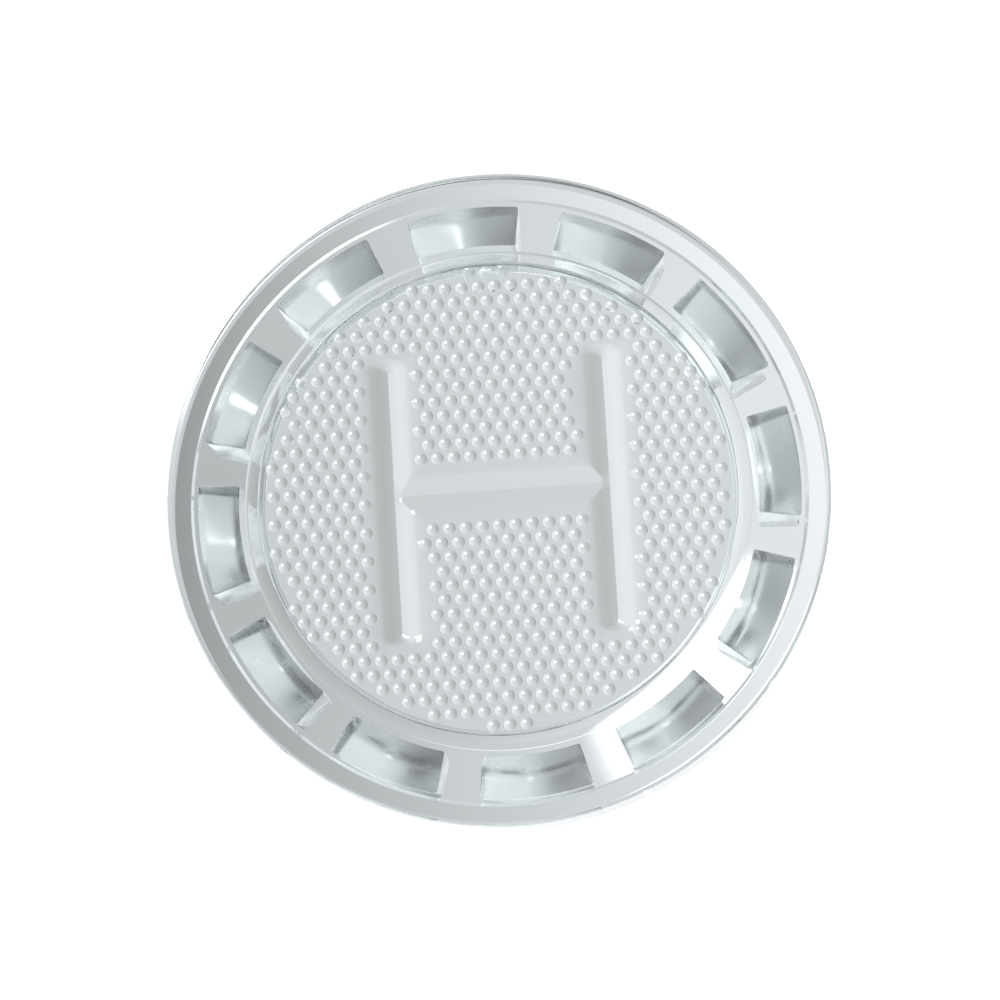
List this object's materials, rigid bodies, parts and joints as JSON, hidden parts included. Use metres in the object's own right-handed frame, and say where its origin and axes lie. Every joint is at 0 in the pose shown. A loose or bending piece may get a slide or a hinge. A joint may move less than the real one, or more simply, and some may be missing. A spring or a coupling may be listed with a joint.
{
  "type": "tap handle index button",
  "caption": "Round clear plastic index button for a tap handle, with a stippled letter disc in its face and a ring of snap fingers under its rim.",
  "frame": {"origin": "centre of the plane that the finger tips stand on, on the button's axis", "axes": "+Z out of the face, +Y towards the top of the letter, +X to the letter's right"},
  "size_m": [0.0318, 0.0318, 0.0063],
  "materials": {
    "clear_bezel": "clear moulded plastic, polished",
    "clear_letter_disc": "clear moulded plastic, stippled face",
    "clear_fingers": "clear moulded plastic, as moulded"
  },
  "bodies": {
    "button": {"bezel_ring": "clear_bezel", "letter_disc": "clear_letter_disc"},
    "snap_finger_01": {"snap_finger_01": "clear_fingers"},
    "snap_finger_02": {"snap_finger_02": "clear_fingers"},
    "snap_finger_03": {"snap_finger_03": "clear_fingers"},
    "snap_finger_04": {"snap_finger_04": "clear_fingers"},
    "snap_finger_05": {"snap_finger_05": "clear_fingers"},
    "snap_finger_06": {"snap_finger_06": "clear_fingers"},
    "snap_finger_07": {"snap_finger_07": "clear_fingers"},
    "snap_finger_08": {"snap_finger_08": "clear_fingers"},
    "snap_finger_09": {"snap_finger_09": "clear_fingers"},
    "snap_finger_10": {"snap_finger_10": "clear_fingers"},
    "snap_finger_11": {"snap_finger_11": "clear_fingers"},
    "snap_finger_12": {"snap_finger_12": "clear_fingers"}
  },
  "joints": [
    {"name": "flex_01", "type": "hinge", "parent": "button", "child": "snap_finger_01", "pos_m": [0.0122, 0.00081, 0.00526], "axis": [-0.0663, 0.9978, 0], "range_deg": [0, 3.5], "stiffness_Nm_per_rad": 0.05},
    {"name": "flex_02", "type": "hinge", "parent": "button", "child": "snap_finger_02", "pos_m": [0.01016, 0.0068, 0.00526], "axis": [-0.5563, 0.831, 0], "range_deg": [0, 3.5], "stiffness_Nm_per_rad": 0.05},
    {"name": "flex_03", "type": "hinge", "parent": "button", "child": "snap_finger_03", "pos_m": [0.0054, 0.01097, 0.00526], "axis": [-0.8973, 0.4415, 0], "range_deg": [0, 3.5], "stiffness_Nm_per_rad": 0.05},
    {"name": "flex_04", "type": "hinge", "parent": "button", "child": "snap_finger_04", "pos_m": [-0.00081, 0.0122, 0.00526], "axis": [-0.9978, -0.0663, 0], "range_deg": [0, 3.5], "stiffness_Nm_per_rad": 0.05},
    {"name": "flex_05", "type": "hinge", "parent": "button", "child": "snap_finger_05", "pos_m": [-0.0068, 0.01016, 0.00526], "axis": [-0.831, -0.5563, 0], "range_deg": [0, 3.5], "stiffness_Nm_per_rad": 0.05},
    {"name": "flex_06", "type": "hinge", "parent": "button", "child": "snap_finger_06", "pos_m": [-0.01097, 0.0054, 0.00526], "axis": [-0.4415, -0.8973, 0], "range_deg": [0, 3.5], "stiffness_Nm_per_rad": 0.05},
    {"name": "flex_07", "type": "hinge", "parent": "button", "child": "snap_finger_07", "pos_m": [-0.0122, -0.00081, 0.00526], "axis": [0.0663, -0.9978, 0], "range_deg": [0, 3.5], "stiffness_Nm_per_rad": 0.05},
    {"name": "flex_08", "type": "hinge", "parent": "button", "child": "snap_finger_08", "pos_m": [-0.01016, -0.0068, 0.00526], "axis": [0.5563, -0.831, 0], "range_deg": [0, 3.5], "stiffness_Nm_per_rad": 0.05},
    {"name": "flex_09", "type": "hinge", "parent": "button", "child": "snap_finger_09", "pos_m": [-0.0054, -0.01097, 0.00526], "axis": [0.8973, -0.4415, 0], "range_deg": [0, 3.5], "stiffness_Nm_per_rad": 0.05},
    {"name": "flex_10", "type": "hinge", "parent": "button", "child": "snap_finger_10", "pos_m": [0.00081, -0.0122, 0.00526], "axis": [0.9978, 0.0663, 0], "range_deg": [0, 3.5], "stiffness_Nm_per_rad": 0.05},
    {"name": "flex_11", "type": "hinge", "parent": "button", "child": "snap_finger_11", "pos_m": [0.0068, -0.01016, 0.00526], "axis": [0.831, 0.5563, 0], "range_deg": [0, 3.5], "stiffness_Nm_per_rad": 0.05},
    {"name": "flex_12", "type": "hinge", "parent": "button", "child": "snap_finger_12", "pos_m": [0.01097, -0.0054, 0.00526], "axis": [0.4415, 0.8973, 0], "range_deg": [0, 3.5], "stiffness_Nm_per_rad": 0.05}
  ]
}
